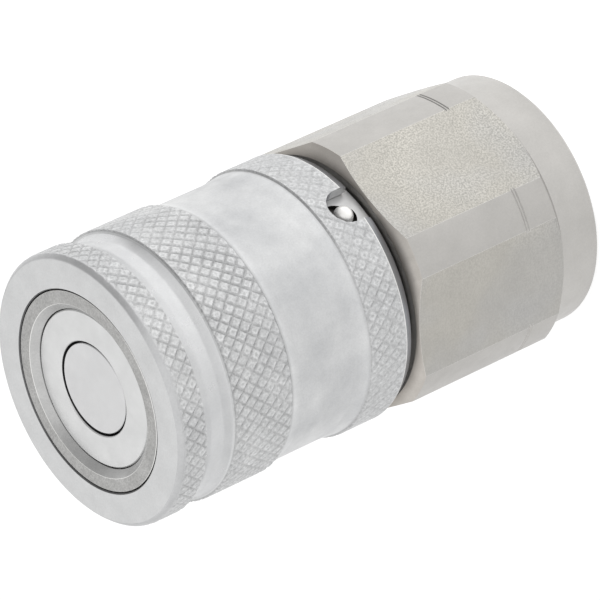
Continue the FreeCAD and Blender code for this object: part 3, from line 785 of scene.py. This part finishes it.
def dress(obj, *materials):
    """Gives a piece its materials and keeps which face has which."""
    mesh = obj.data
    which = [0] * len(mesh.polygons)
    mesh.polygons.foreach_get("material_index", which)
    mesh.materials.clear()
    for m in materials:
        mesh.materials.append(m)
    mesh.polygons.foreach_set("material_index", which)


dress(sleeve, zinc, wall, turned, front_edge_shade, edge, front, waist, finger)
dress(hexa, warm, flat, thread, edge, cone, shade_ring, collar)
dress(tube, bore, rim, seat_shade, lead, edge)
dress(valve, face, wall)
dress(stem, disc, wall)
for b in balls:
    dress(b, steel)
for s in springs:
    dress(s, wire)
for name, material in (("stem_seal", rubber), ("nose_seal", rubber), ("valve_outer_seal", rubber), ("body_o_ring", rubber),
                       ("valve_backup_ring", ivory), ("body_backup_ring", ivory), ("spring_washer", wire), ("valve_stop_ring", wire)):
    for s in nodes[name].material_slots:
        s.material = material
    if not nodes[name].material_slots:
        nodes[name].data.materials.append(material)

# ------------------------------------------------------------------ camera, at the photograph's angle
F_PX, SIZE = 6112.9, 600
C = Vector((-19.234, 8.308, 556.74)) * MM
d = Vector((0.75936298, -0.34902231, 0.54913686))
upc = Vector((-0.28282, -0.93712, -0.20452))
side = Vector((0.58599, 0.0, -0.81032))
turn = math.radians(38.2)
Xw = side * math.cos(turn) + upc * math.sin(turn)
Yw = -side * math.sin(turn) + upc * math.cos(turn)
Zw = -d
Xw.normalize()
Yw = (Zw.cross(Xw)).normalized()
Xw = Yw.cross(Zw).normalized()
right = Vector((Xw.x, Yw.x, Zw.x))
up = -Vector((Xw.y, Yw.y, Zw.y))
back = -Vector((Xw.z, Yw.z, Zw.z))
eye = Vector((0, 0, 51.8)) * MM - Vector((C.dot(Xw), C.dot(Yw), C.dot(Zw)))
cam = bpy.data.cameras.new("camera")
cam.sensor_width = 36.0
cam.lens = 36.0 * F_PX / SIZE
cam.clip_start, cam.clip_end = 0.01, 50
camera = bpy.data.objects.new("camera", cam)
scene.collection.objects.link(camera)
m = Matrix((right, up, back)).transposed().to_4x4()
m.translation = eye
camera.matrix_world = m
scene.camera = camera


def from_view(x, y, z):
    """A direction given as the photograph shows it: right, up and towards the viewer."""
    return (right * x + up * y + back * z).normalized()


# ------------------------------------------------------------------ floor and light
bm = bmesh.new()
bmesh.ops.create_circle(bm, cap_ends=True, radius=1.6, segments=96)
mesh = bpy.data.meshes.new("floor")
bm.to_mesh(mesh)
bm.free()
floor = bpy.data.objects.new("floor", mesh)
scene.collection.objects.link(floor)
ft = Tree("glowing_floor")
ft.link(ft.ramp(ft.noise(6.0, 2.0), [(0.3, (0.24, 0.24, 0.24)), (0.7, (0.26, 0.26, 0.26))]), ft.shader.inputs["Base Color"])
ft.done(metallic=0.0, rough=0.9)
# painted light: the floor glows as a sweep, a little brighter on one side
away = ft.add("ShaderNodeVectorMath", operation="NORMALIZE")
ft.link(ft.coord, away.inputs[0])
glow_side = ft.add("ShaderNodeVectorMath", operation="DOT_PRODUCT")
glow_side.inputs[1].default_value = (0.707, 0.707, 0.0)
ft.link(away.outputs["Vector"], glow_side.inputs[0])
ft.shader.inputs["Emission Color"].default_value = (1, 1, 1, 1)
ft.link(ft.spread(glow_side.outputs["Value"], 0.81, 1.13, -0.11, 0.98), ft.shader.inputs["Emission Strength"])
floor.data.materials.append(ft.mat)

world = bpy.data.worlds.new("studio")
scene.world = world
world.use_nodes = True
wn, wl = world.node_tree.nodes, world.node_tree.links
# a white tent with a grey gap high on one side, where it is open
sky = wn.new("ShaderNodeTexCoord")
lean = wn.new("ShaderNodeVectorMath")
lean.operation = "DOT_PRODUCT"
lean.inputs[1].default_value = (0.350, 0.720, 0.600)
wl.new(sky.outputs["Generated"], lean.inputs[0])
tent = wn.new("ShaderNodeMapRange")
tent.interpolation_type = "SMOOTHSTEP"
for key, v in (("From Min", 0.60), ("From Max", 0.90), ("To Min", 1.15), ("To Max", 0.55)):
    tent.inputs[key].default_value = v
wl.new(lean.outputs["Value"], tent.inputs["Value"])
# and dimmer low down, all round
rise = wn.new("ShaderNodeSeparateXYZ")
wl.new(sky.outputs["Generated"], rise.inputs["Vector"])
low = wn.new("ShaderNodeMapRange")
low.interpolation_type = "SMOOTHSTEP"
for key, v in (("From Min", 0.05), ("From Max", 0.42), ("To Min", 0.74), ("To Max", 1.0)):
    low.inputs[key].default_value = v
wl.new(rise.outputs["Z"], low.inputs["Value"])
both = wn.new("ShaderNodeMath")
both.operation = "MULTIPLY"
wl.new(tent.outputs["Result"], both.inputs[0])
wl.new(low.outputs["Result"], both.inputs[1])
wl.new(both.outputs["Value"], wn["Background"].inputs["Strength"])
wn["Background"].inputs["Color"].default_value = (1, 1, 1, 1)


def softbox(name, direction, distance, width, height, power, colour=(1, 1, 1)):
    lamp = bpy.data.lights.new(name, "AREA")
    lamp.shape = "RECTANGLE"
    lamp.size, lamp.size_y = width, height
    lamp.energy = power
    lamp.color = colour
    obj = bpy.data.objects.new(name, lamp)
    scene.collection.objects.link(obj)
    target = Vector((0, 0, 0.03))
    obj.location = target + direction * distance
    obj.rotation_euler = (-direction).to_track_quat("-Z", "Y").to_euler()
    return obj


softbox("key", from_view(-0.35, 0.80, 0.50), 0.60, 0.40, 0.30, 0.15)
